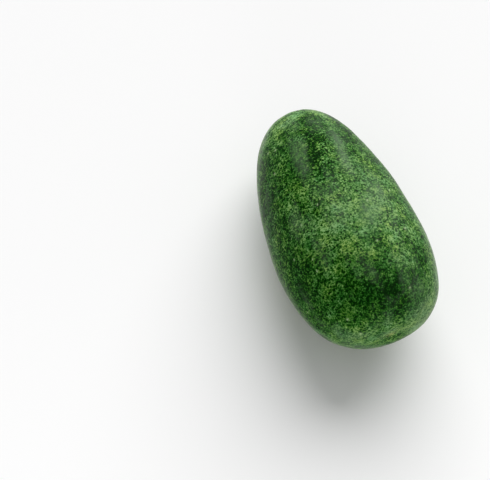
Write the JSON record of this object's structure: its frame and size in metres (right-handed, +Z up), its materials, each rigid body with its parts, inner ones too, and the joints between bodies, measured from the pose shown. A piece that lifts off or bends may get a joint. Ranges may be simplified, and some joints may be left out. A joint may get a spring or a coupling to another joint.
{
  "type": "ash gourd",
  "caption": "Whole dark green ash gourd with a faint waxy bloom, egg-shaped, lying on its side on a small flattened spot, with a short cut stalk.",
  "frame": {"origin": "on the surface that the gourd rests on, under the middle of the object's box", "axes": "+Z up, +Y along the long axis towards the stalk, -Y towards the broader blossom end"},
  "size_m": [0.156, 0.2998, 0.1534],
  "materials": {
    "rind": "hard plant skin, dark green spots in a lighter green net, under a thin grey-white waxy bloom, satin",
    "stalk": "dried, ribbed, corky, matt, with a pale cut end"
  },
  "bodies": {
    "root": {"gourd": "rind", "stalk": "stalk"}
  },
  "joints": []
}
